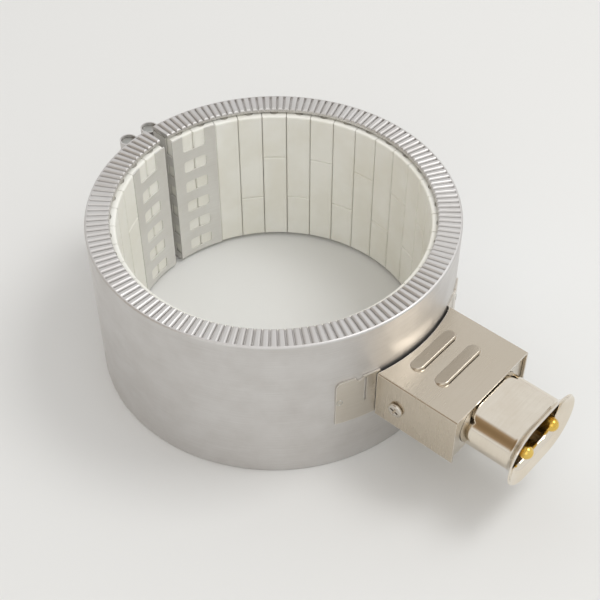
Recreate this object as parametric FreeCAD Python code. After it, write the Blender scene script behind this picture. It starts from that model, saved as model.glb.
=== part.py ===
"""Ceramic band heater with a pin connector, built as an assembly of separate pieces.

Frame: millimetres, origin on the bore axis at mid width, +Z along the bore,
+X through the middle of the terminal box.  The band stands on its lower flange.
"""
import FreeCAD, Part
import math
import os
from FreeCAD import Vector

# ---- driving dimensions -------------------------------------------------------------

# Band
bore_radius = 70.0
short_tile = 25.4
long_tile = 50.8
tile_thickness = 8.5
blanket_thickness = 4.2
shell_sheet = 0.6
flange_lip = 10.9          # how far the turned-in flange reaches in from the shell
flange_depth = 1.9         # flange sheet and flutes together
tile_play = 1.0            # free height above a tile column
seat_clearance = 0.1       # between curved faces that lie on each other

# Flutes pressed into both flanges
flute_count = 150
groove_floor = 0.3         # width at the bottom of the groove between two flutes
flute_rounding = 1.35      # radius of a flute's shoulders
crown_slope = 18.0         # degrees, where a shoulder meets the flute's flat crown
rim_radius = 1.0
tip_radius = 1.0           # rounding of the flutes' inner ends

# Tiles
column_count = 37
tile_joint = 0.3           # gap between neighbouring columns
tile_chamfer = 0.5
tile_edge_radius = 1.0
full_length_column = 2     # this column is one long tile
coil_radius = 1.9
coil_clearance = 0.3
coil_depth = 4.2           # coil centre behind the tile face
link_radius = 0.4
tail_radius = 0.5          # straight tail at each end of a coil pass
tail_reach = 0.45          # how far a tail passes the link's axis
link_groove = 1.1          # height of the passage under each column
return_radius = 0.8
return_height = 24.0

# Split and its two perforated end plates
split_angle = 177.5
split_gap = 4.8
plate_sheet = 0.5
window_rows = 6
window_width = 12.4
window_height = 6.6
window_corner = 1.3
slot_depth = 4.2

# Clamp
loop_radius = 4.2          # outside of the rolled loop
loop_height = 66.0
loop_stand_off = 3.8       # clear height between the shell and the loop
loop_slit = 0.5            # between the loop's rolled end and its neck
barrel_radius = 3.45
barrel_inset = 1.5         # the barrel ends this far inside the loop
screw_radius = 2.0
screw_running = 0.05       # radial clearance in the threaded barrel
screw_free = 0.25          # radial clearance in the plain barrel
screw_from_end = 12.5      # each screw from the barrel's end
screw_length = 25.0
screw_head_radius = 3.5
screw_head_height = 4.0
screw_key = 3.0            # across the flats of the key socket
screw_key_depth = 2.2
barrel_flat = 2.9          # barrel centre to the flat under the head
window_clearance = 1.0     # round each screw head in the loops

# Terminal box
box_width = 51.6
box_above = 12.5           # cover's top above mid width
box_below = 13.5           # cover's lower edge below mid width
box_reach = 38.0           # shell to the cover's front edge
cover_sheet = 0.8
base_sheet = 0.8
box_fit = 0.3              # between the cover and the base inside it
front_recess = 1.4
corner_cut_width = 9.0
corner_cut_height = 3.4
tab_reach = 30.6           # angle of the mounting tab's far edge, in degrees
tab_bottom = -12.0
tab_top = 14.0
tab_corner = 3.0
tab_notch = 1.8
tab_notch_angle = 23.3
tab_slit_angle = 21.4
tab_slit_width = 1.0
tab_slit_length = 15.0
louvre_length = 28.5
louvre_width = 6.8
louvre_rise = 1.7
louvre_rounding = 0.7
louvre_end_flat = 0.05     # half the straight part left at each round end
louvre_depth = 4.0         # of the block that a louvre is cut from
louvre_slit = 0.6
louvre_first = 10.3        # shell to the first louvre's front edge
louvre_pitch = 12.7
cover_screw_reach = 8.2    # shell to the cover screws
cover_screw_height = -2.0
cover_screw_radius = 1.4
cover_screw_length = 6.0
cover_head_radius = 3.1
cover_head_height = 1.7

# Connector
connector_drop = 1.0       # the connector's axis below mid width
pin_spacing = 19.0
pin_radius = 3.0
pin_past_face = 20.0
pin_proud = 1.4            # past the collar's mouth
pin_shoulder_radius = 4.2
pin_shoulder = 1.0
stud_radius = 2.0
stud_length = 9.5
nut_across_flats = 7.0
nut_height = 2.6
collar_sheet = 0.7
collar_rounding = 11.5     # outside radius of the collar's round ends
collar_spread = 16.1       # between the centres of the two round ends
collar_reach = 26.1        # cover's front edge to the mouth
flare_angle = 60.0
flare_bend = 3.0
flare_straight = 3.7
collar_flange = 1.2        # how far its rear flange stands out
insulator_shoulder = 3.5
insulator_fit = 0.25
lead_radius = 1.0
lead_ring = 0.8
lead_ring_radius = 3.6
lead_drop = 6.5            # leads run this far below the pins
sleeve_wall = 0.8
sleeve_fit = 0.1
lead_hole_fit = 0.3
sleeve_short = 3.0         # the sleeve ends this far before the ring

# ---- derived places -----------------------------------------------------------------

column_height = short_tile + long_tile
band_width = column_height + 2 * flange_depth + tile_play
half_width = band_width / 2
seat_low = -half_width + flange_depth
seat_high = half_width - flange_depth
column_top = seat_low + column_height
tile_back = bore_radius + tile_thickness
blanket_inside = tile_back + seat_clearance
blanket_outside = blanket_inside + blanket_thickness
shell_inside = blanket_outside + seat_clearance
shell_outside = shell_inside + shell_sheet
flange_tip = shell_outside - flange_lip

half_gap = split_gap / 2
plate_back = bore_radius + plate_sheet
column_start = math.degrees(math.asin((half_gap + plate_sheet + seat_clearance) / bore_radius))
column_pitch = (360 - 2 * column_start) / column_count
coil_circle = bore_radius + coil_depth

loop_centre = shell_outside + loop_stand_off + loop_radius
loop_from_split = half_gap + loop_radius
barrel_length = loop_height - 2 * barrel_inset
screw_height = barrel_length / 2 - screw_from_end
box_front = shell_outside + box_reach
box_half = box_width / 2
box_top = box_above
box_low = -box_below
box_height = box_above + box_below
base_half = box_half - cover_sheet - box_fit
base_top = box_top - cover_sheet - box_fit
front_face = box_front - front_recess
tab_inside = shell_outside + seat_clearance / 2
tab_outside = tab_inside + base_sheet
cover_back = tab_outside + box_fit

mouth = box_front + collar_reach
collar_inside = collar_rounding - collar_sheet
collar_back = front_face - base_sheet - collar_sheet
insulator_back = collar_back - insulator_shoulder
pin_tip = mouth + pin_proud
insulator_face = pin_tip - pin_past_face
ring_back = insulator_back - nut_height - lead_ring
sleeve_radius = lead_radius + sleeve_fit + sleeve_wall

Z = Vector(0, 0, 1)
X = Vector(1, 0, 0)
Y = Vector(0, 1, 0)
ORIGIN = Vector(0, 0, 0)


# ---- small helpers ------------------------------------------------------------------

def turned(shape, angle, axis=Z):
    """A copy of the shape turned about an axis through the origin."""
    copy = shape.copy()
    copy.rotate(ORIGIN, axis, angle)
    return copy


def box(x_range, y_range, z_range):
    """A block given by its three ranges."""
    (x0, x1), (y0, y1), (z0, z1) = x_range, y_range, z_range
    return Part.makeBox(x1 - x0, y1 - y0, z1 - z0, Vector(x0, y0, z0))


def rod(start, end, radius):
    """A round bar between two points."""
    return Part.makeCylinder(radius, (end - start).Length, start, end - start)


def face_of(edges):
    """A plane face inside a closed run of edges."""
    return Part.Face(Part.Wire(edges))


def polygon_face(points):
    """A plane face with straight sides."""
    return Part.Face(Part.makePolygon(points + points[:1]))


def arc(start, middle, end):
    """An edge through three points of a circle."""
    return Part.Arc(start, middle, end).toShape()


def line(start, end):
    """A straight edge."""
    return Part.makeLine(start, end)


def polar(radius, angle, height=0.0):
    """A point at a radius and an angle in degrees about the bore axis."""
    return Vector(radius * math.cos(math.radians(angle)),
                  radius * math.sin(math.radians(angle)), height)


def ring_sector(r_in, r_out, z_low, z_high, start, end):
    """Part of a ring about the bore axis, between two angles."""
    section = polygon_face([Vector(r_in, 0, z_low), Vector(r_out, 0, z_low),
                            Vector(r_out, 0, z_high), Vector(r_in, 0, z_high)])
    return turned(section.revolve(ORIGIN, Z, end - start), start)


def gap_slab(half, r_in, r_out, z_low, z_high):
    """The block of space between two planes either side of the +X half plane."""
    return box((r_in, r_out), (-half, half), (z_low, z_high))


def mirrored(shape, normal):
    """The shape reflected in a plane through the origin."""
    return shape.mirror(ORIGIN, normal)


# ---- band ---------------------------------------------------------------------------

def shell_section():
    """The sheet's section: a wall with both edges turned in over the tiles."""
    top, low = half_width, seat_high
    bend = 1 - math.sqrt(0.5)
    rim = [Vector(shell_outside, 0, top - rim_radius),
           Vector(shell_outside - bend * rim_radius, 0, top - bend * rim_radius),
           Vector(shell_outside - rim_radius, 0, top)]
    tip = [Vector(flange_tip + tip_radius, 0, top),
           Vector(flange_tip + bend * tip_radius, 0, top - bend * tip_radius),
           Vector(flange_tip, 0, top - tip_radius)]
    under = [Vector(flange_tip, 0, low), Vector(shell_inside, 0, low)]
    upper = [arc(*rim), line(rim[2], tip[0]), arc(*tip), line(tip[2], under[0]),
             line(under[0], under[1])]
    lower = [mirrored(edge, Z) for edge in upper]
    walls = [line(under[1], Vector(shell_inside, 0, -low)),
             line(rim[0], Vector(shell_outside, 0, rim_radius - top))]
    return face_of(Part.__sortEdges__(upper + lower + walls))


def flute_grooves():
    """Radial grooves for one flange, all round, that leave flutes with round shoulders."""
    slope = math.radians(crown_slope)
    half_floor = groove_floor / 2
    centre_y = half_floor + flute_rounding
    floor = half_width - flute_rounding * math.cos(slope)
    crest = floor + flute_rounding
    proud = crest + 1

    def shoulder(side):
        """The arc from the groove's floor up to the top of one shoulder's circle."""
        middle = centre_y - flute_rounding * math.sqrt(0.5)
        return arc(Vector(0, side * half_floor, floor),
                   Vector(0, side * middle, floor + flute_rounding * math.sqrt(0.5)),
                   Vector(0, side * centre_y, crest))

    corners = [Vector(0, -centre_y, crest), Vector(0, -centre_y, proud),
               Vector(0, centre_y, proud), Vector(0, centre_y, crest)]
    sides = [line(corners[k], corners[k + 1]) for k in range(3)]
    base = line(Vector(0, -half_floor, floor), Vector(0, half_floor, floor))
    section = face_of(Part.__sortEdges__(sides + [base, shoulder(-1), shoulder(1)]))
    section.translate(X * (flange_tip - 1))
    groove = section.extrude(X * (shell_outside - rim_radius - flange_tip + 1))
    step = 360 / flute_count
    return [turned(groove, (i + 0.5) * step) for i in range(flute_count)]


def loop_section():
    """Section of the shell's end: a neck that stands out, then a rolled loop, +Y side."""
    inner = loop_radius - shell_sheet
    end = 180 + math.degrees(math.asin((loop_radius - shell_sheet - loop_slit) / loop_radius))

    def on_loop(radius, angle):
        return polar(radius, angle) + Vector(loop_centre, loop_from_split, 0)

    foot = shell_outside - shell_sheet / 2
    neck = [Vector(foot, half_gap, 0), Vector(foot, half_gap + shell_sheet, 0)]
    outside = [on_loop(loop_radius, angle) for angle in (-90, (end - 90) / 2, end)]
    inside = [on_loop(inner, angle) for angle in (-90, (end - 90) / 2, end)]
    return face_of([line(neck[0], outside[0]), arc(*outside), line(outside[2], inside[2]),
                    arc(*reversed(inside)), line(inside[0], neck[1]), line(neck[1], neck[0])])


def clamp_loop():
    """The loop for a clamp barrel on the +Y side, with windows for the two screws."""
    loop = loop_section().extrude(Z * loop_height)
    loop.translate(Z * -loop_height / 2)
    half = screw_head_radius + window_clearance
    windows = []
    for side in (-1, 1):
        middle = side * screw_height
        windows.append(box((loop_centre - half, loop_centre + loop_radius + 1),
                           (0, 2 * loop_from_split), (middle - half, middle + half)))
    return loop.cut(windows)


def outer_shell():
    """Sheet shell, split once, with fluted flanges and the two rolled clamp loops."""
    shell = shell_section().revolve(ORIGIN, Z, 360)
    grooves = flute_grooves()
    grooves += [mirrored(groove, Z) for groove in grooves]
    split = gap_slab(half_gap, flange_tip - 1, shell_outside + 1, -half_width - 1, half_width + 1)
    shell = shell.cut(grooves + [split])
    loop = clamp_loop()
    shell = shell.fuse([loop, mirrored(loop, Y)])
    shell = turned(shell.removeSplitter(), split_angle)
    return shell.cut([lead_channel(side) for side in (-1, 1)])


def insulation_blanket():
    """Ceramic fibre blanket between the tiles and the shell."""
    blanket = ring_sector(blanket_inside, blanket_outside, seat_low, seat_high - tile_play / 2, 0, 360)
    gap = half_gap + plate_sheet + seat_clearance
    blanket = blanket.cut(gap_slab(gap, bore_radius, shell_outside, seat_low - 1, seat_high + 1))
    channel = Part.makeTorus(blanket_inside + return_radius, return_radius + coil_clearance,
                             Vector(0, 0, return_height), Z)
    blanket = turned(blanket, split_angle).cut(channel)
    return blanket.cut([lead_channel(side) for side in (-1, 1)])


# ---- tiles and heating coil ---------------------------------------------------------

def column_angle(index):
    """The middle of a tile column, as an angle about the bore axis."""
    return split_angle + column_start + (index + 0.5) * column_pitch


def under_plate(index):
    """True for the two columns at each end, which the end plates cover."""
    return index < 2 or index >= column_count - 2


def tile(face_radius, z_low, length):
    """One ceramic tile, centred on +X, with eased edges on its inner face."""
    half = math.radians(column_pitch / 2)
    side = half - tile_joint / 2 / bore_radius
    eased = side - tile_chamfer / face_radius
    deg = math.degrees
    inner = [polar(face_radius, deg(a), z_low) for a in (-eased, 0, eased)]
    corner = [polar(face_radius + tile_chamfer, deg(a), z_low) for a in (-side, side)]
    outer = [polar(tile_back, deg(a), z_low) for a in (side, 0, -side)]
    edges = [arc(*inner), line(inner[2], corner[1]), line(corner[1], outer[0]),
             arc(*outer), line(outer[2], corner[0]), line(corner[0], inner[0])]
    block = face_of(edges).extrude(Vector(0, 0, length))
    rims = [edge for edge in block.Edges
            if all(abs(math.hypot(v.X, v.Y) - face_radius) < 1e-6 for v in edge.Vertexes)
            and abs(edge.BoundBox.ZLength) < 1e-6]
    block = block.makeFillet(tile_edge_radius, rims)
    bore = Part.makeCylinder(coil_radius + coil_clearance, length,
                             Vector(coil_circle, 0, z_low), Z)
    cutters = [bore]
    if z_low == seat_low:
        groove = link_radius + coil_clearance
        chord = coil_circle * math.sin(half) * math.tan(half)
        cutters.append(box((coil_circle - groove - chord, coil_circle + groove),
                           (-tile_back, tile_back), (z_low, z_low + link_groove)))
    return block.cut(cutters)


def tile_column(index):
    """A stack of one short and one long tile; the short one sits low or high by turns."""
    face_radius = plate_back + seat_clearance / 2 if under_plate(index) else bore_radius
    if index == column_count - 1 - full_length_column:
        lengths = [column_height]
    elif index % 2:
        lengths = [short_tile, long_tile]
    else:
        lengths = [long_tile, short_tile]
    tiles = []
    z_low = seat_low
    for length in lengths:
        tiles.append(turned(tile(face_radius, z_low, length), column_angle(index)))
        z_low += length
    tiles = [drilled(index, piece) for piece in tiles]
    return Part.makeCompound([solid for piece in tiles for solid in piece.Solids])


def drilled(index, piece):
    """The tile with its passages for leads, where its column has any."""
    cutters = []
    for side in (-1, 1):
        if index == lead_column(side):
            cutters.append(lead_channel(side))
    if index in (0, column_count - 1):
        cutters.append(return_stub(index, return_radius + coil_clearance, tile_back + 1))
    return piece.cut(cutters) if cutters else piece


def coil_pass(index, z_low, z_high):
    """The wound coil inside one column, drawn as its outer envelope."""
    at = polar(coil_circle, column_angle(index))
    return rod(at + Z * z_low, at + Z * z_high, coil_radius)


def coil_half(side):
    """The coil of one half band: down one column and up the next, joined end to end."""
    first = lead_column(side)
    last = 0 if side < 0 else column_count - 1
    indices = list(range(first, last + side, side))
    high = (column_top + seat_high) / 2
    low = seat_low + link_groove / 2
    pieces = []
    for place, index in enumerate(indices):
        z_low = low + link_radius + link_groove / 2
        if index == first:
            z_low = -lead_drop - coil_radius
        if index == last:
            z_low = return_height - coil_radius
        pieces.append(coil_pass(index, z_low, column_top))
        at = polar(coil_circle, column_angle(index))
        pieces.append(rod(at + Z * (column_top - 1), at + Z * (high + tail_reach), tail_radius))
        if index not in (first, last):
            pieces.append(rod(at + Z * (low - tail_reach), at + Z * (z_low + 1), tail_radius))
        if index != last:
            level = low if place % 2 else high
            beyond = polar(coil_circle, column_angle(index + side))
            pieces.append(rod(at + Z * level, beyond + Z * level, link_radius))
    return pieces[0].fuse(pieces[1:])


def lead_column(side):
    """The tile column beside the box's axis that a terminal lead leaves."""
    return (column_count - 1) // 2 + side


def lead_line(side):
    """Both ends of a terminal lead: at the coil, and below its pin's stud."""
    start = polar(coil_circle, column_angle(lead_column(side)), -lead_drop)
    end = Vector(ring_back, side * pin_spacing / 2, -lead_drop)
    return start, end


def lead_channel(side):
    """The round passage of a sleeved lead through tile, blanket and shell."""
    start, end = lead_line(side)
    return rod(start, end, sleeve_radius + lead_hole_fit)


def return_stub(index, radius, reach):
    """A short bar from an end column's coil out through its tile."""
    angle = column_angle(index)
    begin = coil_circle + coil_radius + seat_clearance
    return rod(polar(begin, angle, return_height), polar(reach, angle, return_height), radius)


def return_lead():
    """The wire behind the tiles that joins the two coil halves in series."""
    circle = blanket_inside + return_radius
    start = column_angle(0)
    sweep = column_angle(column_count - 1) - start
    wire = Part.makeTorus(circle, return_radius, Vector(0, 0, return_height), Z, 0, 360, sweep)
    ends = [return_stub(index, return_radius, circle) for index in (0, column_count - 1)]
    return turned(wire, start).fuse(ends)


# ---- end plates and clamp -----------------------------------------------------------

def window_cutter(angle, z_low, z_high):
    """A window with rounded corners, cut radially through a plate."""
    half = window_width / 2
    block = box((bore_radius - 1, plate_back + 1), (-half, half), (z_low, z_high))
    block = block.makeFillet(window_corner, edges_along(block, X))
    return turned(block, angle)


def edges_along(shape, direction):
    """The shape's straight edges that run along a direction."""
    found = []
    for edge in shape.Edges:
        span = edge.Vertexes[-1].Point - edge.Vertexes[0].Point
        if span.Length > 1e-6 and abs(abs(span.dot(direction)) - span.Length) < 1e-6:
            found.append(edge)
    return found


def end_plate():
    """Perforated plate over the two end columns, folded out at the split (+Y side)."""
    start = math.degrees(math.asin(half_gap / plate_back))
    end = column_start + 2 * column_pitch
    plate = ring_sector(bore_radius, plate_back, seat_low, column_top, start, end)
    fold = gap_slab(half_gap + plate_sheet, bore_radius - 1, blanket_outside, seat_low, column_top)
    fold = fold.cut(gap_slab(half_gap, bore_radius - 2, shell_outside, seat_low, column_top))
    fold = fold.common(ring_sector(bore_radius, blanket_outside, seat_low, column_top, 0, 90))
    pitch = column_height / window_rows
    cutters = []
    for row in range(window_rows):
        middle = seat_low + (row + 0.5) * pitch
        low = middle - window_height / 2
        high = middle + window_height / 2
        slot_high = high
        if row == window_rows - 1:
            high = column_top + 2 * window_corner
            slot_high = column_top + 1
        cutters.append(window_cutter(column_start + column_pitch, low, high))
        cutters.append(gap_slab(half_gap + plate_sheet + 1, plate_back, plate_back + slot_depth,
                                low, slot_high))
    plate = plate.fuse(fold).removeSplitter()
    return plate.cut(cutters)


def barrel(flat):
    """A clamp barrel for the loop on the +Y side, with its two cross holes."""
    centre = Vector(loop_centre, loop_from_split, -barrel_length / 2)
    bar = Part.makeCylinder(barrel_radius, barrel_length, centre, Z)
    clearance = screw_free if flat else screw_running
    cutters = []
    for side in (-1, 1):
        at = Vector(loop_centre, loop_from_split, side * screw_height)
        cutters.append(rod(at - Y * 2 * barrel_radius, at + Y * 2 * barrel_radius,
                           screw_radius + clearance))
        if flat:
            half = screw_head_radius + window_clearance / 2
            low = loop_from_split + barrel_flat
            cutters.append(box((loop_centre - half, loop_centre + half), (low, low + barrel_radius),
                               (side * screw_height - half, side * screw_height + half)))
    return bar.cut(cutters)


def clamp_screw(height):
    """A socket-head screw across the split, its head against the plain barrel (-Y side)."""
    seat = Vector(loop_centre, -loop_from_split - barrel_flat, height)
    shank = rod(seat - Y * 0.5, seat + Y * screw_length, screw_radius)
    head = rod(seat - Y * screw_head_height, seat, screw_head_radius)
    key_radius = screw_key / math.sqrt(3)
    corners = [Vector(key_radius * math.cos(math.radians(60 * k)), 0,
                      key_radius * math.sin(math.radians(60 * k))) for k in range(6)]
    key = polygon_face(corners).extrude(Y * screw_key_depth)
    key.translate(seat - Y * screw_head_height)
    return shank.fuse(head.cut(key)).removeSplitter()


# ---- terminal box -------------------------------------------------------------------

def stadium(radius, spread, x_range):
    """A block with round ends, long axis along Y, between two X planes."""
    x0, x1 = x_range
    ends = [Part.makeCylinder(radius, x1 - x0, Vector(x0, s * spread / 2, 0), X) for s in (-1, 1)]
    middle = box((x0, x1), (-spread / 2, spread / 2), (-radius, radius))
    return middle.fuse(ends).removeSplitter()


def mounting_tab():
    """The base's foot that lies on the shell, on the -Y side."""
    inner_angle = math.degrees(math.asin((base_half - base_sheet) / tab_inside))
    tab = ring_sector(tab_inside, tab_outside, tab_bottom, tab_top, -tab_reach, -inner_angle)
    corner = [edge for edge in tab.Edges
              if all(abs(v.Z - tab_top) < 1e-6 and
                     abs(math.degrees(math.atan2(v.Y, v.X)) + tab_reach) < 1e-3
                     for v in edge.Vertexes)]
    tab = tab.makeFillet(tab_corner, corner)
    notch = rod(polar(tab_inside - 2, -tab_notch_angle, tab_top),
                polar(tab_outside + 2, -tab_notch_angle, tab_top), tab_notch)
    slit = box((tab_inside - 2, tab_outside + 2), (-tab_slit_width / 2, tab_slit_width / 2),
               (tab_top - 1 - tab_slit_length, tab_top - 1))
    return tab.cut([notch, turned(slit, -tab_slit_angle)])


def screw_axis(side, radius, length):
    """A round bar inward from the outside of the cover, where a cover screw goes."""
    start = Vector(shell_outside + cover_screw_reach, side * box_half, cover_screw_height)
    return rod(start, start - Y * side * length, radius)


def box_base():
    """Folded base: floor, front, two side walls and their feet on the shell."""
    low = box_low
    back = tab_inside * math.cos(math.radians(tab_reach))
    block = box((back, front_face), (-base_half, base_half), (low, base_top))
    inner = base_half - base_sheet
    inside = box((back - 1, front_face - base_sheet), (-inner, inner), (low + base_sheet, base_top + 1))
    bore = Part.makeCylinder(tab_inside, 2 * box_height, Vector(0, 0, -box_height), Z)
    base = block.cut([inside, bore])
    tab = mounting_tab()
    base = base.fuse([tab, mirrored(tab, Y)]).removeSplitter()
    cutters = [at_connector(stadium(collar_rounding + box_fit, collar_spread,
                                    (collar_back, front_face + 1)))]
    for side in (-1, 1):
        cutters.append(screw_axis(side, cover_screw_radius, cover_screw_length + 1))
        outer = side * (base_half + 1)
        corner = polygon_face([Vector(front_face - base_sheet - 1, outer, base_top - corner_cut_height),
                               Vector(front_face - base_sheet - 1, outer, base_top + 1),
                               Vector(front_face - base_sheet - 1,
                                      side * (base_half - corner_cut_width), base_top + 1)])
        cutters.append(corner.extrude(X * (base_sheet + 2)))
    return base.cut(cutters)


def louvre_block(inset):
    """A vent louvre: a rounded pad tilted up towards the front, or its hollow when inset."""
    half_length = louvre_length / 2 - inset
    top = box_top - inset
    block = box((inset, louvre_width - inset), (-half_length, half_length),
                (box_top - louvre_depth, top))
    block = block.makeFillet(louvre_width / 2 - inset - louvre_end_flat, edges_along(block, Z))
    if not inset:
        crown = [edge for edge in block.Edges
                 if min(vertex.Z for vertex in edge.Vertexes) > top - 1e-6]
        block = block.makeFillet(louvre_rounding, crown)
    tilt = math.degrees(math.atan(louvre_rise / louvre_width))
    block.rotate(Vector(0, 0, box_top), Y, -tilt)
    ceiling = box((-louvre_width, 2 * louvre_width), (-louvre_length, louvre_length),
                  (box_top - cover_sheet - (seat_clearance if inset else 0), box_top + louvre_depth))
    return block.common(ceiling)


def box_cover():
    """Folded cover: top and two sides, hollowed to the shell's curve, with two louvres."""
    block = box((0, box_front), (-box_half, box_half), (box_low, box_top))
    folds = [edge for edge in edges_along(block, X) if edge.BoundBox.ZMin > 0]
    block = block.makeFillet(cover_sheet, folds)
    inner = box_half - cover_sheet
    inside = box((-1, box_front + 1), (-inner, inner), (box_low - 1, box_top - cover_sheet))
    bore = Part.makeCylinder(cover_back, 2 * box_height, Vector(0, 0, -box_height), Z)
    cover = block.cut([inside, bore])
    hollows = []
    for place in range(2):
        start = X * (shell_outside + louvre_first + place * louvre_pitch - louvre_width)
        rib = louvre_block(0)
        rib.translate(start)
        hollow = louvre_block(cover_sheet)
        hollow.translate(start)
        slit_half = louvre_length / 2 - louvre_width / 2
        slit = box((louvre_width - 2 * cover_sheet, louvre_width + 1), (-slit_half, slit_half),
                   (box_top, box_top + louvre_slit))
        slit.translate(start)
        cover = cover.fuse(rib)
        hollows += [hollow, slit]
    holes = [screw_axis(side, cover_screw_radius + screw_free, cover_sheet + 1) for side in (-1, 1)]
    return cover.removeSplitter().cut(hollows + holes)


def cover_screws():
    """The two pan-head screws in the sides of the cover."""
    screws = []
    for side in (-1, 1):
        shank = screw_axis(side, cover_screw_radius - seat_clearance / 2, cover_screw_length)
        head = screw_axis(side, cover_head_radius, -cover_head_height)
        rim = [edge for edge in head.Edges
               if abs(edge.BoundBox.YLength) < 1e-6 and abs(abs(edge.BoundBox.YMin) - box_half) > 1]
        head = head.makeFillet(cover_head_height * 0.6, rim)
        screws.append(shank.fuse(head).removeSplitter())
    return Part.makeCompound([solid for screw in screws for solid in screw.Solids])


# ---- connector ----------------------------------------------------------------------

def collar_section():
    """Half section of the collar: rear flange, wall and flared mouth, in X and Z."""
    slope = math.radians(flare_angle)
    along = Vector(math.cos(slope), 0, math.sin(slope)) * flare_straight
    inner_bend = flare_bend + collar_sheet
    bend_x = mouth - inner_bend * math.sin(slope) - along.x
    centre = Vector(bend_x, 0, collar_rounding + flare_bend)

    def on_bend(radius, angle):
        return centre + Vector(radius * math.sin(angle), 0, -radius * math.cos(angle))

    outer = [on_bend(flare_bend, slope * k / 2) for k in range(3)]
    inner = [on_bend(inner_bend, slope * k / 2) for k in range(3)]
    rim = collar_rounding + collar_flange
    rear = [Vector(collar_back, 0, collar_inside), Vector(collar_back, 0, rim),
            Vector(collar_back + collar_sheet, 0, rim),
            Vector(collar_back + collar_sheet, 0, collar_rounding)]
    edges = [line(rear[0], rear[1]), line(rear[1], rear[2]), line(rear[2], rear[3]),
             line(rear[3], outer[0]), arc(*outer), line(outer[2], outer[2] + along),
             line(outer[2] + along, inner[2] + along), line(inner[2] + along, inner[2]),
             arc(*reversed(inner)), line(inner[0], rear[0])]
    return face_of(edges)


def at_connector(shape):
    """A piece built about the X axis, moved down to the connector's axis."""
    copy = shape.copy()
    copy.translate(Z * -connector_drop)
    return copy


def connector_collar():
    """Drawn collar of stadium section, its rear flange cut flat over the box's floor."""
    half = collar_spread / 2
    section = collar_section()
    pieces = []
    for side in (-1, 1):
        end = section.copy()
        end.translate(Y * side * half)
        pieces.append(end.revolve(Y * side * half, X, -180 * side))
        flat = section.copy()
        flat.translate(Y * -half)
        flat = flat.extrude(Y * collar_spread)
        pieces.append(flat if side > 0 else mirrored(flat, Z))
    collar = pieces[0].fuse(pieces[1:]).removeSplitter()
    floor = box_low + base_sheet + seat_clearance + connector_drop
    below = box((collar_back - 1, front_face), (-box_half, box_half), (floor - box_height, floor))
    return collar.cut(below)


def connector_insulator():
    """Ceramic block inside the collar that carries the two pins."""
    body = stadium(collar_inside - insulator_fit, collar_spread, (insulator_back, insulator_face))
    shoulder = stadium(collar_rounding, collar_spread, (insulator_back, collar_back))
    holes = [rod(Vector(insulator_back - 1, side * pin_spacing / 2, 0),
                 Vector(insulator_face + 1, side * pin_spacing / 2, 0), stud_radius + seat_clearance)
             for side in (-1, 1)]
    return body.fuse(shoulder).removeSplitter().cut(holes)


def contact_pin(side):
    """Brass pin: round-ended contact, shoulder, and a stud through the insulator."""
    at = Y * side * pin_spacing / 2
    contact = rod(at + X * insulator_face, at + X * (pin_tip - pin_radius), pin_radius)
    tip = Part.makeSphere(pin_radius, at + X * (pin_tip - pin_radius))
    shoulder = rod(at + X * insulator_face, at + X * (insulator_face + pin_shoulder),
                   pin_shoulder_radius)
    stud = rod(at + X * (insulator_back - stud_length), at + X * (insulator_face + pin_shoulder),
               stud_radius)
    return contact.fuse([tip, shoulder, stud]).removeSplitter()


def pin_nuts():
    """Two hexagon nuts on each pin's stud, one either side of the lead's ring."""
    corner = nut_across_flats / math.sqrt(3)
    points = [Vector(0, corner * math.cos(math.radians(60 * k)),
                     corner * math.sin(math.radians(60 * k))) for k in range(6)]
    nut = polygon_face(points).extrude(X * nut_height)
    nut = nut.cut(Part.makeCylinder(stud_radius + screw_running, nut_height, ORIGIN, X))
    nuts = []
    for side in (-1, 1):
        for x_low in (insulator_back - nut_height, ring_back - nut_height):
            copy = nut.copy()
            copy.translate(Vector(x_low, side * pin_spacing / 2, 0))
            nuts.append(copy)
    return Part.makeCompound(nuts)


def lead_direction(side):
    """Unit vector along a terminal lead, from the coil to its pin."""
    start, end = lead_line(side)
    return (end - start).normalize()


def terminal_leads():
    """The two nickel leads, each with its ring under a pin's nut."""
    leads = []
    for side in (-1, 1):
        start, end = lead_line(side)
        begin = start + lead_direction(side) * (coil_radius + seat_clearance)
        wire = rod(begin, end + X * lead_ring / 2, lead_radius)
        centre = Vector(ring_back, side * pin_spacing / 2, -connector_drop)
        ring = Part.makeCylinder(lead_ring_radius, lead_ring, centre, X)
        tag = box((ring_back, ring_back + lead_ring),
                  (centre.y - 1.5 * lead_radius, centre.y + 1.5 * lead_radius),
                  (-lead_drop - 1.5 * lead_radius, -connector_drop - stud_radius))
        hole = Part.makeCylinder(stud_radius + screw_running, 3 * lead_ring,
                                 centre - X * lead_ring, X)
        leads.append(ring.fuse([tag, wire]).cut(hole))
    return Part.makeCompound([solid for lead in leads for solid in lead.Solids])


def lead_sleeves():
    """Glass-fibre sleeves over the two leads, from the tile to near the ring."""
    sleeves = []
    for side in (-1, 1):
        start, end = lead_line(side)
        along = lead_direction(side)
        begin = start + along * (coil_radius + 2 * seat_clearance)
        finish = end - along * sleeve_short
        outer = rod(begin, finish, sleeve_radius)
        inner = rod(begin - along, finish + along, lead_radius + sleeve_fit)
        sleeves.append(outer.cut(inner))
    return Part.makeCompound(sleeves)


# ---- assembly -----------------------------------------------------------------------

def placed_at_split(shape):
    """A piece built about the +X half plane, turned to the band's split."""
    return turned(shape, split_angle)


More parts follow.
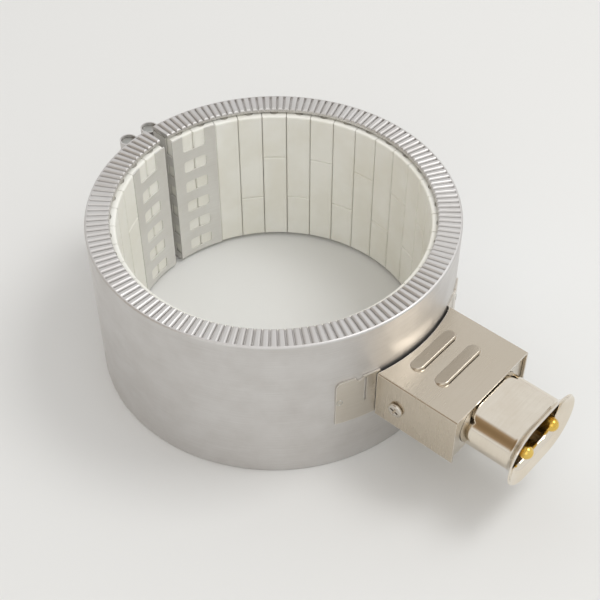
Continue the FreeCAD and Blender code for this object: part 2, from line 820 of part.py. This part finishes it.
def nodes():
    """Every piece of the heater by its node name."""
    yield "outer_shell", outer_shell()
    yield "insulation_blanket", insulation_blanket()
    for index in range(column_count):
        yield "tile_column_%02d" % (index + 1), tile_column(index)
    yield "heating_coil_left", coil_half(-1)
    yield "heating_coil_right", coil_half(1)
    yield "return_lead", return_lead()
    plate = end_plate()
    yield "end_plate_left", placed_at_split(plate)
    yield "end_plate_right", placed_at_split(mirrored(plate, Y))
    yield "clamp_barrel_threaded", placed_at_split(barrel(False))
    yield "clamp_barrel_plain", placed_at_split(mirrored(barrel(True), Y))
    yield "clamp_screw_upper", placed_at_split(clamp_screw(screw_height))
    yield "clamp_screw_lower", placed_at_split(clamp_screw(-screw_height))
    yield "box_base", box_base()
    yield "box_cover", box_cover()
    yield "cover_screws", cover_screws()
    yield "connector_collar", at_connector(connector_collar())
    yield "connector_insulator", at_connector(connector_insulator())
    yield "contact_pin_left", at_connector(contact_pin(-1))
    yield "contact_pin_right", at_connector(contact_pin(1))
    yield "pin_nuts", at_connector(pin_nuts())
    yield "terminal_leads", terminal_leads()
    yield "lead_sleeves", lead_sleeves()


def main():
    """Writes one STEP file for each node."""
    os.makedirs("parts", exist_ok=True)
    for name, shape in nodes():
        shape.exportStep("parts/%s.step" % name)
        print(name, len(shape.Solids), round(shape.Volume), shape.isValid())


if __name__ == "__main__":
    main()
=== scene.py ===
# %% [markdown]
# # Ceramic band heater
#
# This lesson dresses a band heater: a split steel ring lined with ceramic tiles, clamped round the barrel
# of a moulding machine, with a terminal box and a pin inlet on its side. The CAD model gives every piece
# its size and place. Here each one gets its finish, and a few small pieces that CAD leaves plain.

# %% Load the frame
import math

import bpy
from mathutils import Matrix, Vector


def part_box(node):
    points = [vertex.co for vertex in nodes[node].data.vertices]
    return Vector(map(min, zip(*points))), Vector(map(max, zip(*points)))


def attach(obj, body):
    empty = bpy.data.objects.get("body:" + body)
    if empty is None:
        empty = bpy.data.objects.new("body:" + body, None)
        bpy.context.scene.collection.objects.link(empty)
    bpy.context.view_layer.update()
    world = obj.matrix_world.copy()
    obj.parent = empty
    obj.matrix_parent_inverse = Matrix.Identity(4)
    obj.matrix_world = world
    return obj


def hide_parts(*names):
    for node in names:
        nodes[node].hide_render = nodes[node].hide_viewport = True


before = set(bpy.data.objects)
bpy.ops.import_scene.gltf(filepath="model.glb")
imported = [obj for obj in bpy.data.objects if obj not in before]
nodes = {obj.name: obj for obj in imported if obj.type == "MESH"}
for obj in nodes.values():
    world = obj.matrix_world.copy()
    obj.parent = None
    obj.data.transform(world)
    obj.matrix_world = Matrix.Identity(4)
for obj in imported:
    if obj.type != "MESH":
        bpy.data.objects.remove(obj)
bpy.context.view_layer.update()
print("pieces from CAD:", len(nodes))

# %% [markdown]
# ## Sizes that the looks depend on
#
# The shell gives the floor its height and the cover's screws give the new screws their place. Both are read
# once here from the boxes of the CAD nodes, so that nothing has to be fitted by eye. The tile, cover and
# collar are printed too, to give a feel for the sizes.

# %% Read sizes from the frame
shell_low, shell_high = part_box("outer_shell")
tile_low, tile_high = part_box("tile_column_19")
cover_low, cover_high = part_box("box_cover")
collar_low, collar_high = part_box("connector_collar")
screws_low, screws_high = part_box("cover_screws")
print("band radius %.4f, from z %.4f to %.4f" % (shell_high.y, shell_low.z, shell_high.z))
print("tile column height %.4f" % (tile_high.z - tile_low.z))
print("cover width %.4f, collar width %.4f" % (cover_high.y - cover_low.y, collar_high.y - collar_low.y))

# %% [markdown]
# ## Small helpers for node trees
#
# A material is a small machine of nodes. These helpers add a node, set its inputs by name and join two
# sockets, so that each material below reads as a short recipe.


# %% Node helpers
# The colour version of the Mix node keeps its sockets at these places in its lists.
MIX_FIRST, MIX_SECOND, MIX_RESULT = 6, 7, 2


def add_node(tree, kind, **inputs):
    """Adds a node of that kind to a tree and sets its named inputs."""
    node = tree.nodes.new(kind)
    for name, value in inputs.items():
        node.inputs[name.replace("_", " ")].default_value = value
    return node


def join(tree, source, target):
    """Joins an output socket to an input socket."""
    tree.links.new(source, target)


def ramp(tree, source, stops):
    """A colour ramp over a 0 to 1 source; stops are (position, grey or colour)."""
    node = tree.nodes.new("ShaderNodeValToRGB")
    elements = node.color_ramp.elements
    while len(elements) < len(stops):
        elements.new(0.5)
    for element, (position, colour) in zip(elements, stops):
        element.position = position
        grey = isinstance(colour, float)
        element.color = (colour, colour, colour, 1.0) if grey else (*colour, 1.0)
    join(tree, source, node.inputs["Fac"])
    return node


def srgb(red, green, blue):
    """Turns a colour read on screen (0 to 255) into the linear colour that a shader wants."""
    def channel(value):
        value /= 255
        return value / 12.92 if value <= 0.04045 else ((value + 0.055) / 1.055) ** 2.4
    return channel(red), channel(green), channel(blue)


print("node helpers ready: add_node, join, ramp, srgb")


# %% [markdown]
# ## A group for rolled sheet metal
#
# Sheet steel shows the direction in which it was rolled: fine streaks, long one way and short the other,
# with faint cloudy patches left by handling and heat. One group gives both, so every sheet piece can
# have its own strength and colour. The streaks come from noise that is stretched along one axis.


# %% Rolled metal group
def rolled_metal_group():
    """Streaks and clouds for sheet metal: gives a roughness, a height and a colour."""
    tree = bpy.data.node_groups.new("rolled_metal", "ShaderNodeTree")
    for name, value in (("Streak Scale X", 40.0), ("Streak Scale Y", 40.0), ("Streak Scale Z", 4000.0),
                        ("Cloud Scale", 60.0), ("Rough Low", 0.3), ("Rough High", 0.45)):
        socket = tree.interface.new_socket(name, in_out="INPUT", socket_type="NodeSocketFloat")
        socket.default_value = value
    for name in ("Bright Colour", "Dull Colour"):
        tree.interface.new_socket(name, in_out="INPUT", socket_type="NodeSocketColor")
    tree.interface.new_socket("Colour", in_out="OUTPUT", socket_type="NodeSocketColor")
    tree.interface.new_socket("Roughness", in_out="OUTPUT", socket_type="NodeSocketFloat")
    tree.interface.new_socket("Height", in_out="OUTPUT", socket_type="NodeSocketFloat")
    streak_share, cloud_share = 0.4, 0.6
    into = tree.nodes.new("NodeGroupInput")
    out = tree.nodes.new("NodeGroupOutput")
    place = tree.nodes.new("ShaderNodeTexCoord")
    scale = tree.nodes.new("ShaderNodeCombineXYZ")
    stretch = tree.nodes.new("ShaderNodeVectorMath")
    stretch.operation = "MULTIPLY"
    for axis in "XYZ":
        join(tree, into.outputs["Streak Scale " + axis], scale.inputs[axis])
    join(tree, place.outputs["Object"], stretch.inputs[0])
    join(tree, scale.outputs["Vector"], stretch.inputs[1])
    streaks = add_node(tree, "ShaderNodeTexNoise", Scale=1.0, Detail=3.0, Roughness=0.6)
    join(tree, stretch.outputs["Vector"], streaks.inputs["Vector"])
    clouds = add_node(tree, "ShaderNodeTexNoise", Detail=4.0, Roughness=0.55)
    join(tree, place.outputs["Object"], clouds.inputs["Vector"])
    join(tree, into.outputs["Cloud Scale"], clouds.inputs["Scale"])
    both = tree.nodes.new("ShaderNodeMath")
    both.operation = "MULTIPLY_ADD"
    both.inputs[1].default_value = streak_share
    join(tree, streaks.outputs["Fac"], both.inputs[0])
    share = tree.nodes.new("ShaderNodeMath")
    share.operation = "MULTIPLY"
    share.inputs[1].default_value = cloud_share
    join(tree, clouds.outputs["Fac"], share.inputs[0])
    join(tree, share.outputs["Value"], both.inputs[2])
    spread = tree.nodes.new("ShaderNodeMapRange")
    spread.inputs["From Min"].default_value = 0.35
    spread.inputs["From Max"].default_value = 0.65
    join(tree, both.outputs["Value"], spread.inputs["Value"])
    rough = tree.nodes.new("ShaderNodeMapRange")
    join(tree, spread.outputs["Result"], rough.inputs["Value"])
    join(tree, into.outputs["Rough Low"], rough.inputs["To Min"])
    join(tree, into.outputs["Rough High"], rough.inputs["To Max"])
    mix = tree.nodes.new("ShaderNodeMix")
    mix.data_type = "RGBA"
    join(tree, spread.outputs["Result"], mix.inputs["Factor"])
    join(tree, into.outputs["Bright Colour"], mix.inputs[MIX_FIRST])
    join(tree, into.outputs["Dull Colour"], mix.inputs[MIX_SECOND])
    join(tree, mix.outputs[MIX_RESULT], out.inputs["Colour"])
    join(tree, rough.outputs["Result"], out.inputs["Roughness"])
    join(tree, streaks.outputs["Fac"], out.inputs["Height"])
    return tree


rolled_metal = rolled_metal_group()
print("group made:", rolled_metal.name)


# %% [markdown]
# ## A group for painted edge highlights
#
# Folds and cut edges of sheet metal catch thin bright lines of light. This group finds those edges, and the
# metals below lighten their colour there: a painted highlight. It compares the true surface direction with one
# that is rounded over a small radius. Where the two differ there is an edge, and the output grows from 0 to 1.


# %% Edge highlight group
def edge_highlight_group():
    """Gives 1 along edges and 0 on flat or gently curved faces."""
    tree = bpy.data.node_groups.new("edge_highlight", "ShaderNodeTree")
    radius = tree.interface.new_socket("Radius", in_out="INPUT", socket_type="NodeSocketFloat")
    radius.default_value = 0.0004
    tree.interface.new_socket("Edge", in_out="OUTPUT", socket_type="NodeSocketFloat")
    into = tree.nodes.new("NodeGroupInput")
    out = tree.nodes.new("NodeGroupOutput")
    rounded = tree.nodes.new("ShaderNodeBevel")
    rounded.samples = 6
    join(tree, into.outputs["Radius"], rounded.inputs["Radius"])
    surface = tree.nodes.new("ShaderNodeNewGeometry")
    agree = tree.nodes.new("ShaderNodeVectorMath")
    agree.operation = "DOT_PRODUCT"
    join(tree, rounded.outputs["Normal"], agree.inputs[0])
    join(tree, surface.outputs["Normal"], agree.inputs[1])
    spread = tree.nodes.new("ShaderNodeMapRange")
    spread.inputs["From Min"].default_value = 0.995
    spread.inputs["From Max"].default_value = 0.9
    join(tree, agree.outputs["Value"], spread.inputs["Value"])
    join(tree, spread.outputs["Result"], out.inputs["Edge"])
    return tree


edge_highlight = edge_highlight_group()
print("group made:", edge_highlight.name)


# %% [markdown]
# ## Sheet metals
#
# The band is satin stainless steel with a soft grey sheen. The terminal box is brighter and a little warm,
# as nickel plate is. The collar round the pins is the shiniest. All three are the same recipe with
# other values, which is why the streaks were put into a group.


# %% Metal materials
# The colour mixed in along edges: a painted highlight in place of the light that edges catch.
edge_highlight_colour = (0.95, 0.93, 0.9, 1.0)
relief_depth = 0.0002


def metal(name, bright, dull, rough, streaks, clouds=60.0, bump=0.02, metallic=1.0, edge=0.0):
    """A sheet metal: two colours, a range of roughness, and the stretch of its streaks."""
    material = bpy.data.materials.new(name)
    material.use_nodes = True
    tree = material.node_tree
    surface = tree.nodes["Principled BSDF"]
    surface.inputs["Metallic"].default_value = metallic
    group = tree.nodes.new("ShaderNodeGroup")
    group.node_tree = rolled_metal
    for axis, value in zip("XYZ", streaks):
        group.inputs["Streak Scale " + axis].default_value = value
    group.inputs["Cloud Scale"].default_value = clouds
    group.inputs["Rough Low"].default_value = rough[0]
    group.inputs["Rough High"].default_value = rough[1]
    group.inputs["Bright Colour"].default_value = (*bright, 1.0)
    group.inputs["Dull Colour"].default_value = (*dull, 1.0)
    # Painted highlight: the colour is lightened along edges and folds, as strongly as edge says.
    edge_finder = tree.nodes.new("ShaderNodeGroup")
    edge_finder.node_tree = edge_highlight
    amount = tree.nodes.new("ShaderNodeMath")
    amount.operation = "MULTIPLY"
    amount.inputs[1].default_value = edge
    join(tree, edge_finder.outputs["Edge"], amount.inputs[0])
    highlight_mix = tree.nodes.new("ShaderNodeMix")
    highlight_mix.data_type = "RGBA"
    highlight_mix.inputs[MIX_SECOND].default_value = edge_highlight_colour
    join(tree, amount.outputs["Value"], highlight_mix.inputs["Factor"])
    join(tree, group.outputs["Colour"], highlight_mix.inputs[MIX_FIRST])
    join(tree, highlight_mix.outputs[MIX_RESULT], surface.inputs["Base Color"])
    join(tree, group.outputs["Roughness"], surface.inputs["Roughness"])
    relief = add_node(tree, "ShaderNodeBump", Strength=bump, Distance=relief_depth)
    join(tree, group.outputs["Height"], relief.inputs["Height"])
    join(tree, relief.outputs["Normal"], surface.inputs["Normal"])
    return material


around_band = (60.0, 60.0, 3500.0)
along_box = (3500.0, 60.0, 60.0)
even_grain = (900, 900, 900)
# Each edge value sets how strongly that metal is lightened along its edges: a painted highlight.
shell_steel = metal("shell_satin_steel", srgb(216, 214, 212), srgb(206, 203, 200), (0.42, 0.54), around_band,
                    edge=0.35)
plate_steel = metal("plate_steel", srgb(228, 227, 223), srgb(220, 218, 213), (0.42, 0.52), (60, 60, 3000),
                    metallic=0.5, edge=0.5)
box_nickel = metal("box_nickel", srgb(208, 198, 182), srgb(202, 191, 174), (0.22, 0.3), along_box, 45.0,
                   bump=0.008, edge=0.8)
base_nickel = metal("base_nickel", srgb(216, 210, 200), srgb(206, 199, 187), (0.26, 0.36), around_band, 45.0,
                    bump=0.01, edge=0.8)
collar_nickel = metal("collar_nickel", srgb(236, 228, 214), srgb(228, 218, 202), (0.07, 0.13), along_box, 90.0,
                      bump=0.01, edge=0.6)
zinc_steel = metal("zinc_plated_steel", srgb(200, 200, 196), srgb(176, 176, 172), (0.25, 0.4), even_grain)
bright_screw = metal("bright_screw", srgb(220, 214, 204), srgb(200, 192, 180), (0.15, 0.3), even_grain)
wire_alloy = metal("heating_wire", srgb(226, 223, 214), srgb(206, 202, 192), (0.4, 0.5), even_grain,
                   metallic=0.3)
pin_brass = metal("pin_brass", srgb(240, 208, 118), srgb(226, 186, 84), (0.12, 0.25), (200, 900, 900), 120.0)
print("metals made: 9")

# %% [markdown]
# ## Ceramic and fibre
#
# The tiles are cream steatite, fired without glaze: smooth, faintly waxy, with slight colour steps from
# tile to tile and a little grey where metal has rubbed. Noise at a low scale gives each tile its own
# tone, and a weak bump keeps the highlights from being perfect.


# %% Ceramic materials
def ceramic(name, light, dark, scale, rough=0.5, bump=0.06, sheen=0.3):
    """An unglazed fired body, with soft clouds of tone and a fine grain."""
    material = bpy.data.materials.new(name)
    material.use_nodes = True
    tree = material.node_tree
    surface = tree.nodes["Principled BSDF"]
    surface.inputs["Roughness"].default_value = rough
    surface.inputs["Specular IOR Level"].default_value = sheen
    place = tree.nodes.new("ShaderNodeTexCoord")
    clouds = add_node(tree, "ShaderNodeTexNoise", Scale=scale, Detail=3.0, Roughness=0.6)
    join(tree, place.outputs["Object"], clouds.inputs["Vector"])
    tone = ramp(tree, clouds.outputs["Fac"], [(0.35, dark), (0.62, light)])
    join(tree, tone.outputs["Color"], surface.inputs["Base Color"])
    grain = add_node(tree, "ShaderNodeTexNoise", Scale=2600.0, Detail=2.0, Roughness=0.6)
    join(tree, place.outputs["Object"], grain.inputs["Vector"])
    relief = add_node(tree, "ShaderNodeBump", Strength=bump, Distance=relief_depth)
    join(tree, grain.outputs["Fac"], relief.inputs["Height"])
    join(tree, relief.outputs["Normal"], surface.inputs["Normal"])
    return material


tile_ceramic = ceramic("tile_ceramic", srgb(243, 242, 235), srgb(237, 235, 225), 40.0, rough=0.42, sheen=0.4)
insulator_ceramic = ceramic("insulator_ceramic", srgb(150, 132, 100), srgb(120, 104, 76), 120.0)
blanket_fibre = ceramic("fibre_blanket", srgb(238, 236, 228), srgb(214, 211, 202), 500.0, rough=0.95,
                        bump=0.8, sheen=0.1)
sleeve_glass = ceramic("glass_sleeve", srgb(232, 228, 214), srgb(206, 200, 184), 900.0, rough=0.85, bump=0.6)
print("ceramics and fibres made: 4")


# %% [markdown]
# ## Put the finishes on the CAD pieces
#
# Each CAD piece keeps its mesh and gets one material. A table from piece to finish is easy to read and
# to change; the tile columns are many, so they are found by the start of their names.


# %% Assign materials
finishes = {
    "outer_shell": shell_steel,
    "insulation_blanket": blanket_fibre,
    "heating_coil_left": wire_alloy,
    "heating_coil_right": wire_alloy,
    "return_lead": wire_alloy,
    "end_plate_left": plate_steel,
    "end_plate_right": plate_steel,
    "clamp_barrel_threaded": zinc_steel,
    "clamp_barrel_plain": zinc_steel,
    "clamp_screw_upper": zinc_steel,
    "clamp_screw_lower": zinc_steel,
    "box_base": base_nickel,
    "box_cover": box_nickel,
    "cover_screws": bright_screw,
    "connector_collar": collar_nickel,
    "connector_insulator": insulator_ceramic,
    "contact_pin_left": pin_brass,
    "contact_pin_right": pin_brass,
    "pin_nuts": pin_brass,
    "terminal_leads": wire_alloy,
    "lead_sleeves": sleeve_glass,
}
for name, piece in nodes.items():
    finish = tile_ceramic if name.startswith("tile_column") else finishes[name]
    piece.data.materials.clear()
    piece.data.materials.append(finish)
print("finished pieces:", len(nodes))

# %% [markdown]
# ## Helpers for new pieces
#
# Every new piece goes through the same steps: shape it with modifiers, apply them, then put its place into
# its mesh, so that the finished object stands at the origin, unturned and unscaled.


# %% Piece helpers
smooth_below = math.radians(35)


def select_only(piece):
    """Makes one object the selected and active one."""
    bpy.ops.object.select_all(action="DESELECT")
    piece.select_set(True)
    bpy.context.view_layer.objects.active = piece


def apply_modifiers(piece):
    """Applies every modifier of a piece in order."""
    select_only(piece)
    for modifier in list(piece.modifiers):
        bpy.ops.object.modifier_apply(modifier=modifier.name)


def settle(piece):
    """Puts a finished piece's place into its mesh and shades it smooth across low folds."""
    select_only(piece)
    bpy.ops.object.transform_apply(location=True, rotation=True, scale=True)
    bpy.ops.object.shade_smooth_by_angle(angle=smooth_below)


def join_pieces(first, others):
    """Joins finished pieces into the first one."""
    bpy.ops.object.select_all(action="DESELECT")
    for piece in others:
        piece.select_set(True)
    first.select_set(True)
    bpy.context.view_layer.objects.active = first
    bpy.ops.object.join()


print("piece helpers ready: select_only, apply_modifiers, settle, join_pieces")

# %% [markdown]
# ## Cross-head screws in the cover
#
# Two pan-head screws hold the cover to the base. CAD draws them plain; a real one has a cross recess for
# the driver. The head is a disc with a rolled edge, and the recess is cut by two crossed blocks.
# One screw is made on the near side, and a copy turned half round the box's axis serves the far side.

# %% Pan-head screws
head_growth = 1.15
head_radius = (screws_high.z - screws_low.z) / 2 * head_growth
head_height = 0.0017
screw_x = (screws_low.x + screws_high.x) / 2
screw_z = (screws_low.z + screws_high.z) / 2
head_face = screws_low.y
recess_depth = 0.0013
recess_reach = head_radius * 1.15
recess_width = head_radius * 0.26
recess_turns = (20, 110)
shank_radius = 0.0013
shank_length = 0.006
shank_middle = head_height + 0.0029
bpy.ops.mesh.primitive_cylinder_add(vertices=48, radius=head_radius, depth=head_height,
                                    location=(screw_x, head_face + head_height / 2, screw_z),
                                    rotation=(math.pi / 2, 0, 0))
near_screw = bpy.context.object
near_screw.name = "cover_screw_near"
edge = near_screw.modifiers.new("rolled_edge", "BEVEL")
edge.width = head_height * 0.6
edge.segments = 5
edge.limit_method = "ANGLE"
apply_modifiers(near_screw)
for turn in recess_turns:
    bpy.ops.mesh.primitive_cube_add(size=1, location=(screw_x, head_face, screw_z))
    block = bpy.context.object
    block.scale = (recess_reach, recess_depth * 2, recess_width)
    block.rotation_euler = (0, math.radians(turn), 0)
    recess = near_screw.modifiers.new("cross_recess", "BOOLEAN")
    recess.object = block
    recess.operation = "DIFFERENCE"
    apply_modifiers(near_screw)
    bpy.data.objects.remove(block, do_unlink=True)
bpy.ops.mesh.primitive_cylinder_add(vertices=24, radius=shank_radius, depth=shank_length,
                                    location=(screw_x, head_face + shank_middle, screw_z),
                                    rotation=(math.pi / 2, 0, 0))
join_pieces(near_screw, [bpy.context.object])
settle(near_screw)
select_only(near_screw)
bpy.ops.object.duplicate()
far_screw = bpy.context.object
far_screw.name = "cover_screw_far"
bpy.ops.transform.rotate(value=math.pi, orient_axis="Z", center_override=(screw_x, 0, screw_z))
settle(far_screw)
for piece in (near_screw, far_screw):
    piece.data.materials.clear()
    piece.data.materials.append(bright_screw)
    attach(piece, "band")
    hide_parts("cover_screws")
print("screws made: 2, head radius %.4f" % head_radius)

# %% [markdown]
# ## Threads of the clamp screws
#
# Each clamp screw passes the split and its threaded barrel, and its end stands out beyond. The thread is
# one small tooth, wound along the screw with a rise at each turn. Its place is taken from the middle of the
# screw's box. That is a known slip: the screw is tilted and its head is wide, so the middle of the box lies
# 0.55 mm nearer the band than the screw's axis, and the thread swings when the screw turns.

# %% Screw threads
split_turn = math.radians(177.5)
across = Vector((-math.sin(split_turn), math.cos(split_turn), 0))
outward = Vector((math.cos(split_turn), math.sin(split_turn), 0))
thread_pitch = 0.0007
thread_turns = 7
thread_length = thread_pitch * thread_turns
tooth_radius = 0.00035
tooth_from_axis = 0.00195
end_margin = 0.0006
steps_in_turn = 24
weld_distance = 0.000001
for name, body in (("clamp_screw_upper", "upper_screw"), ("clamp_screw_lower", "lower_screw")):
    low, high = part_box(name)
    middle = (low + high) / 2
    end = max(across.dot(Vector((x, y, 0))) for x in (low.x, high.x) for y in (low.y, high.y))
    bpy.ops.mesh.primitive_circle_add(vertices=3, radius=tooth_radius, fill_type="NOTHING")
    thread = bpy.context.object
    thread.name = name + "_thread"
    bpy.ops.object.mode_set(mode="EDIT")
    bpy.ops.transform.rotate(value=math.pi / 2, orient_axis="X")
    bpy.ops.transform.translate(value=(tooth_from_axis, 0, 0))
    bpy.ops.object.mode_set(mode="OBJECT")
    winding = thread.modifiers.new("winding", "SCREW")
    winding.axis = "Z"
    winding.angle = 2 * math.pi * thread_turns
    winding.screw_offset = thread_length
    winding.steps = steps_in_turn * thread_turns
    winding.render_steps = steps_in_turn * thread_turns
    apply_modifiers(thread)
    bpy.ops.object.mode_set(mode="EDIT")
    bpy.ops.mesh.select_all(action="SELECT")
    bpy.ops.mesh.remove_doubles(threshold=weld_distance)
    bpy.ops.mesh.fill_holes(sides=3)
    bpy.ops.mesh.normals_make_consistent(inside=False)
    bpy.ops.object.mode_set(mode="OBJECT")
    base = end - end_margin - thread_length
    thread.rotation_euler = across.to_track_quat("Z", "Y").to_euler()
    thread.location = outward * outward.dot(middle) + across * base + Vector((0, 0, middle.z))
    settle(thread)
    thread.data.materials.clear()
    thread.data.materials.append(zinc_steel)
    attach(thread, body)
print("threads made: 2, pitch %.4f" % thread_pitch)

# %% [markdown]
# ## Spot welds on the feet
#
# The base is held to the band by spot welds at the outer edge of each foot. A weld leaves a shallow round
# ring where the electrode pressed. A thin torus, partly sunk in the foot, gives that ring on each side.

# %% Spot welds
foot_radius = 0.0844
weld_angle = math.radians(29.4)
weld_height = 0.0018
ring_radius = 0.0013
ring_thickness = 0.00014
for side in (-1, 1):
    turn = side * weld_angle
    place = (foot_radius * math.cos(turn), foot_radius * math.sin(turn), weld_height)
    bpy.ops.mesh.primitive_torus_add(location=place, rotation=(0, math.pi / 2, turn),
                                     major_radius=ring_radius, minor_radius=ring_thickness,
                                     major_segments=32, minor_segments=8)
    weld = bpy.context.object
    weld.name = "spot_weld_near" if side < 0 else "spot_weld_far"
    settle(weld)
    weld.data.materials.append(zinc_steel)
    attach(weld, "band")
print("spot welds made: 2")

# %% [markdown]
# ## Floor
#
# The heater stands on a pale table. One large matt sheet at the height of the band's lower rim serves as
# table and background. Its colour sets how pale the background is, together with the room's brightness.


# %% Floor
paper_colour = (*srgb(231, 231, 229), 1.0)
floor_size = 6.0
bpy.ops.object.select_all(action="DESELECT")
bpy.ops.mesh.primitive_plane_add(size=floor_size, location=(0, 0, shell_low.z))
floor = bpy.context.object
floor.name = "studio_floor"
bpy.ops.object.transform_apply(location=True, rotation=True, scale=True)
paper = bpy.data.materials.new("studio_paper")
paper.use_nodes = True
paper_surface = paper.node_tree.nodes["Principled BSDF"]
paper_surface.inputs["Base Color"].default_value = paper_colour
paper_surface.inputs["Roughness"].default_value = 0.9
paper_surface.inputs["Specular IOR Level"].default_value = 0.1
floor.data.materials.append(paper)
print("floor made: %.1f m square" % floor_size)

# %% [markdown]
# ## World and lamps
#
# Bright metal shows the room around it. The room is an even white, with one brown patch to the camera's
# left, some 30 degrees up, for the bright collar to reflect. Two large lamps add soft light from above and
# from the side, and stay at a plain level so that the steel and the ceramic keep their tones.

# %% World and lamps
room_brightness = 0.84
patch_direction = Vector((-0.458, -0.691, 0.52)).normalized()
world = bpy.data.worlds.new("studio_world")
bpy.context.scene.world = world
world.use_nodes = True
sky = world.node_tree.nodes["Background"]
sky.inputs["Strength"].default_value = room_brightness
direction = world.node_tree.nodes.new("ShaderNodeTexCoord")
facing = world.node_tree.nodes.new("ShaderNodeVectorMath")
facing.operation = "DOT_PRODUCT"
facing.inputs[1].default_value = patch_direction
join(world.node_tree, direction.outputs["Generated"], facing.inputs[0])
room = ramp(world.node_tree, facing.outputs["Value"],
            [(0.86, srgb(252, 252, 252)), (0.93, srgb(176, 152, 122)), (0.98, srgb(150, 126, 96))])
join(world.node_tree, room.outputs["Color"], sky.inputs["Color"])


def softbox(name, place, size, power):
    """A square white area lamp that looks at the middle of the band."""
    bpy.ops.object.light_add(type="AREA", location=place)
    lamp = bpy.context.object
    lamp.name = name
    lamp.data.size = size
    lamp.data.energy = power
    lamp.rotation_euler = (-Vector(place)).to_track_quat("-Z", "Y").to_euler()


softbox("key_softbox", (0.45, 0.5, 1.2), 0.55, 5.2)
softbox("fill_softbox", (0.6, -1.1, 0.9), 1.2, 2.2)
print("lamps made: 2, room brightness %.2f" % room_brightness)

# %% [markdown]
# ## Camera
#
# The camera looks down on the band from its open side, at about 46 degrees, so that the tiles, the fluted
# rim and the box all show. Its lens is a short telephoto, which keeps the ring's ellipse true.

# %% Camera
camera_azimuth = math.radians(41.05)
camera_elevation = math.radians(45.74)
camera_place = Vector((0.27315, -0.29604, 0.39535))
lens_in_frame_widths = 2.015
camera_data = bpy.data.cameras.new("studio_camera")
camera = bpy.data.objects.new("studio_camera", camera_data)
bpy.context.scene.collection.objects.link(camera)
camera.location = camera_place
camera.rotation_euler = (math.pi / 2 - camera_elevation, 0, camera_azimuth)
camera_data.sensor_width = 36.0
camera_data.lens = camera_data.sensor_width * lens_in_frame_widths
bpy.context.scene.camera = camera
bpy.context.scene.view_settings.view_transform = "Standard"
print("camera made: lens %.1f mm" % camera_data.lens)
